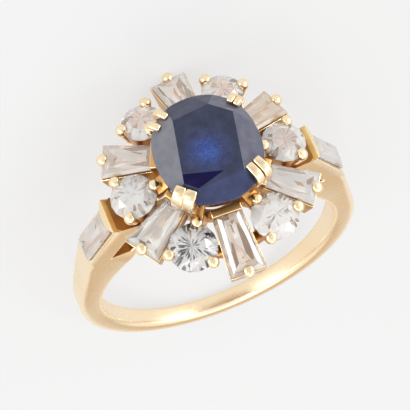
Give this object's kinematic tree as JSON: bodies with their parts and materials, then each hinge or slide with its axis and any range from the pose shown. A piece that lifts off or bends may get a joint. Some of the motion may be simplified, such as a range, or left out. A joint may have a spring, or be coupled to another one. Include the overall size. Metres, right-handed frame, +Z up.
{
  "type": "gold cluster ring",
  "caption": "Yellow gold finger ring with a large oval blue faceted stone in double claws, a surround of round and tapered clear stones, and forked shoulders set with baguettes.",
  "frame": {"origin": "on the surface that the ring lies on, below the middle of its box", "axes": "+Z up from that surface; X across the shoulders; -Y towards the head, which is propped up on its edge; the finger hole's axis leans 18.5 degrees from Z"},
  "size_m": [0.0208, 0.0264, 0.0156],
  "materials": {
    "gold": "polished yellow gold",
    "blue_stone": "polished facets, deep blue",
    "clear_stone": "polished facets, near colourless"
  },
  "bodies": {
    "root": {"ring_mount": "gold", "centre_stone": "blue_stone", "round_1": "clear_stone", "taper_1": "clear_stone", "round_2": "clear_stone", "taper_2": "clear_stone", "round_3": "clear_stone", "taper_3": "clear_stone", "round_4": "clear_stone", "taper_4": "clear_stone", "round_5": "clear_stone", "taper_5": "clear_stone", "round_6": "clear_stone", "taper_6": "clear_stone", "baguette_right": "clear_stone", "baguette_left": "clear_stone"}
  },
  "joints": []
}
